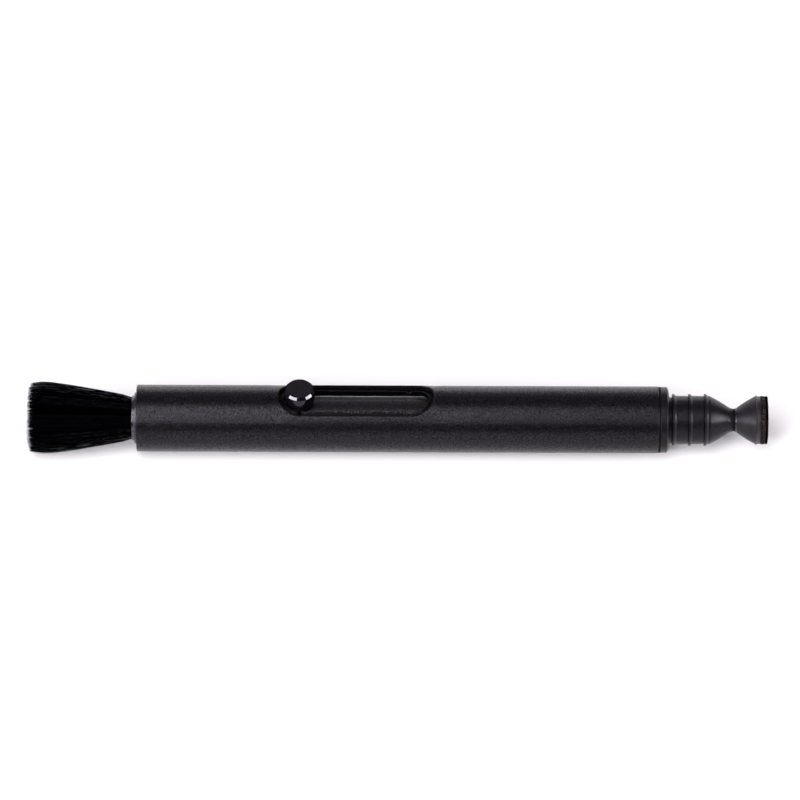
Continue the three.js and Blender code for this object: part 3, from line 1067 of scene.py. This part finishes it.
lip_x, lip_radius, cup_face = 120.3, 4.84, span("head_cup")[1]
flare_end = (lip_x - 0.12, lip_radius - 0.16)
neck_x = 116.2
cup = turned(
    "rubber_cup",
    [
        *arc(PIVOT, 0, 2.2, 148, 84.5, 16),
        (neck_x, 2.36, 0.05),
        (neck_x + 0.16, 2.42, 0.06),
        (neck_x + 0.26, 2.34, 0.03),
        *flank((neck_x + 0.26, 2.34), flare_end, 0.13, 20),
        (*flare_end, 0.05),
        (lip_x, lip_radius + 0.07, 0.015),
        (lip_x + 0.07, lip_radius - 0.05, 0.03),
        (lip_x + 0.16, lip_radius - 0.17, 0.04),
        (cup_face, lip_radius - 0.2, 0.08),
        (cup_face, 4.0, 0.05),
        (119.9, 4.0),
        (119.9, 0.4),
        (PIVOT + 1.25, 0.4),
        *arc(PIVOT, 0, 1.25, 18, 130, 14),
        arc(PIVOT, 0, 2.2, 148, 148, 1)[0],
    ],
    RUBBER,
    "cleaning_head",
    "rubber",
    ["head_cup"],
    sides=192,
)


def on_lip(x, radius, _):
    return lip_x - 0.05 < x < lip_x + 0.45 and radius > 4.5


paint(cup, wear_and_glint_edge(0.02, 0.5), on_lip)
# The ball inside the socket is painted dead black as the shade in the gap at the waist.
paint(cup, gap_shade_rubber(), lambda x, *_: x < neck_x)
paint(cup, burnished_rubber(), lambda x, *_: neck_x <= x < neck_x + 0.32)

cushion_from, cushion_to, cushion_radius = span("pad_cushion")


def felt_disc(name, outline, material, slot, node, roughen, seed):
    """A turned soft disc whose edge is uneven, as cut felt is."""
    verts, faces = revolve(outline, 220)
    rng = np.random.default_rng(seed)
    co = np.array(verts)
    waves = rng.normal(0, 1, (24, 3)) * np.array([1.5, 1.2, 1.2])
    offset = sum(math.sin(i * 1.7) * np.sin(co @ w * (1 + 0.2 * i) + i) for i, w in enumerate(waves))
    offset /= len(waves) ** 0.5
    grain = rng.normal(0, 0.35, len(co))
    radial = np.hypot(co[:, 1], co[:, 2])
    push = roughen * (offset + grain) * np.clip(radial / cushion_radius, 0, 1) ** 4
    for axis in (1, 2):
        co[:, axis] *= 1 - np.abs(push) / np.maximum(radial, 1e-6)
    obj = piece(name, co.tolist(), faces, material, "cleaning_head", slot, [node], sharp_deg=180)


def wall(x_from, x_to, radius, crown, steps):
    """A soft side wall that bulges by crown between its edges."""
    points = []
    for i in range(steps + 1):
        t = i / steps
        points.append((x_from + (x_to - x_from) * t, radius - crown * (2 * t - 1) ** 4))
    return points


felt_disc(
    "suede_cushion",
    [
        (cushion_from, 0),
        (cushion_from, 3.9),
        (cup_face + 0.04, 3.9),
        (cup_face + 0.04, 4.3),
        *wall(cup_face + 0.05, cushion_to, cushion_radius, 0.14, 10),
        (cushion_to, 4.2),
        (cushion_to, 0),
    ],
    FELT,
    "felt",
    "pad_cushion",
    0.07,
    3,
)
pad_from, pad_to, pad_radius = span("pad_face")
felt_disc(
    "carbon_layer",
    [
        (pad_from, 0),
        (pad_from, 4.3),
        *wall(pad_from + 0.02, pad_to - 0.06, pad_radius, 0.06, 5),
        (pad_to - 0.02, 4.42),
        (pad_to, 4.1),
        (pad_to, 3.0),
        (pad_to, 1.5),
        (pad_to, 0),
    ],
    CARBON,
    "carbon",
    "pad_face",
    0.06,
    5,
)


PAD_LIMIT = pad_to + 0.16


def fuzz(name, count, edge, forward, longest, material, slot, seed):
    """Short fibres that stand off a cut edge, outwards and forward by a share of their length.

    The edge is where it starts and ends along the pen, and its radius."""
    x_from, x_to, radius = edge
    rng = np.random.default_rng(seed)
    x = rng.uniform(x_from, x_to, count)
    angle = rng.uniform(0, 2 * math.pi, count)
    reach = longest * rng.random(count) ** 1.6
    lean = rng.normal(0, 0.7, (count, 2))
    paths = np.zeros((count, 4, 3))
    for k in range(4):
        t = k / 3
        r = radius - 0.06 + reach * t * (1 - 0.4 * forward)
        a = angle + lean[:, 0] * reach * t * t / radius
        px = np.minimum(x + reach * (forward * t + 0.5 * lean[:, 1] * t * t), PAD_LIMIT)
        paths[:, k] = np.stack([px, r * np.sin(a), r * np.cos(a)], 1)
    thickness = rng.uniform(0.012, 0.022, count)[:, None] * np.linspace(1, 0.4, 4)[None, :]
    piece(name, *tubes(rng, paths, thickness), material, "cleaning_head", slot, sharp_deg=180)


felt_edge = (cup_face + 0.1, cushion_to - 0.05, cushion_radius - 0.05)
carbon_edge = (pad_from, pad_to - 0.05, pad_radius - 0.05)
fuzz("felt_fibres", 1600, felt_edge, 0.2, 0.22, FELT, "felt", 11)
fuzz("carbon_fibres", 1100, carbon_edge, 0.6, 0.24, CARBON, "carbon", 12)


# Table, light and camera

VIEW_ELEVATION = 45.0
SENSOR_WIDTH = 36
CAMERA_DISTANCE = 1.12
FRAME_WIDTH = 155.5 * MM  # at the pen's axis
AIM_UP, AIM_ALONG = 3.67 * MM, 0.71 * MM  # where the camera aims, from the pen's middle
CAMERA_ROLL = 0.2
TABLE_HALF = 3.0

table_mesh = bpy.data.meshes.new("table")
table_z = AXIS_Z - BARREL_RADIUS * MM
corners = [(x * TABLE_HALF, y * TABLE_HALF, table_z) for x, y in ((-1, -1), (1, -1), (1, 1), (-1, 1))]
table_mesh.from_pydata(corners, [], [[0, 1, 2, 3]])
table = bpy.data.objects.new("table", table_mesh)
bpy.context.scene.collection.objects.link(table)
paper = Finish("white_table", (0.86, 0.86, 0.87), 0.55, specular_ior_level=0.3)
paper.color(paper.noise(60), (0.85, 0.85, 0.862), (0.87, 0.87, 0.88))
table_mesh.materials.append(paper.material)


def softbox(name, location, width, height, watts, along=(1, 0, 0), color=(0.99, 0.96, 1.0)):
    """A rectangular light that faces the pen, with its width along a direction."""
    lamp = bpy.data.lights.new(name, "AREA")
    lamp.shape = "RECTANGLE"
    lamp.size, lamp.size_y = width, height
    lamp.energy = watts
    lamp.color = color
    obj = bpy.data.objects.new(name, lamp)
    away = Vector(location).normalized()
    across = (Vector(along) - Vector(along).project(away)).normalized()
    obj.location = location
    obj.rotation_mode = "QUATERNION"
    obj.rotation_quaternion = Matrix((across, away.cross(across), away)).transposed().to_quaternion()
    bpy.context.scene.collection.objects.link(obj)


softbox("softbox_left", (-0.635, -0.555, 0.361), 0.92, 0.085, 8.0, along=(-0.715, 0.67, -0.2))
softbox("softbox_right", (0.799, -0.277, 0.271), 0.76, 0.068, 5.4, along=(-0.389, -0.874, 0.293))
softbox("panel_left", (-0.83, -0.26, 0.4), 0.3, 0.36, 2.4)
softbox("panel_right", (0.85, -0.13, 0.38), 0.3, 0.36, 3.4, color=(1.0, 0.93, 0.88))
softbox("overhead", (-0.3, -0.55, 1.06), 0.65, 1.1, 12.6)
softbox("backdrop", (0, 1.6, 0.36), 3.2, 0.72, 12)

# A studio that is dim on the camera's side and lighter behind the pen.
world = bpy.data.worlds.new("studio")
world.use_nodes = True
world_nodes, world_links = world.node_tree.nodes, world.node_tree.links
direction = world_nodes.new("ShaderNodeTexCoord")
parts = world_nodes.new("ShaderNodeSeparateXYZ")
depth = world_nodes.new("ShaderNodeMapRange")
for key, value in {"From Min": -0.1, "From Max": 0.8, "To Min": 0.08, "To Max": 0.43}.items():
    depth.inputs[key].default_value = value
world_links.new(direction.outputs["Generated"], parts.inputs[0])
world_links.new(parts.outputs["Y"], depth.inputs["Value"])
world_links.new(depth.outputs["Result"], world_nodes["Background"].inputs["Strength"])
world_nodes["Background"].inputs["Color"].default_value = (0.96, 0.93, 1.0, 1)
bpy.context.scene.world = world
bpy.context.scene.view_settings.view_transform = "Standard"

camera_data = bpy.data.cameras.new("camera")
camera_data.sensor_width = SENSOR_WIDTH
camera_data.lens = SENSOR_WIDTH * CAMERA_DISTANCE / FRAME_WIDTH
camera_data.clip_start = 0.05
camera = bpy.data.objects.new("camera", camera_data)
bpy.context.scene.collection.objects.link(camera)
elevation = math.radians(VIEW_ELEVATION)
back = Vector((0, -math.cos(elevation), math.sin(elevation)))
up = Vector((0, math.sin(elevation), math.cos(elevation)))
pen_middle = Vector((0, 0, AXIS_Z))
target = pen_middle + up * AIM_UP + Vector((AIM_ALONG, 0, 0))
camera.rotation_mode = "QUATERNION"
roll = Matrix.Rotation(math.radians(CAMERA_ROLL), 3, "Z").to_quaternion()
camera.rotation_quaternion = (-back).to_track_quat("-Z", "Y") @ roll
camera.location = target + back * CAMERA_DISTANCE
bpy.context.scene.camera = camera
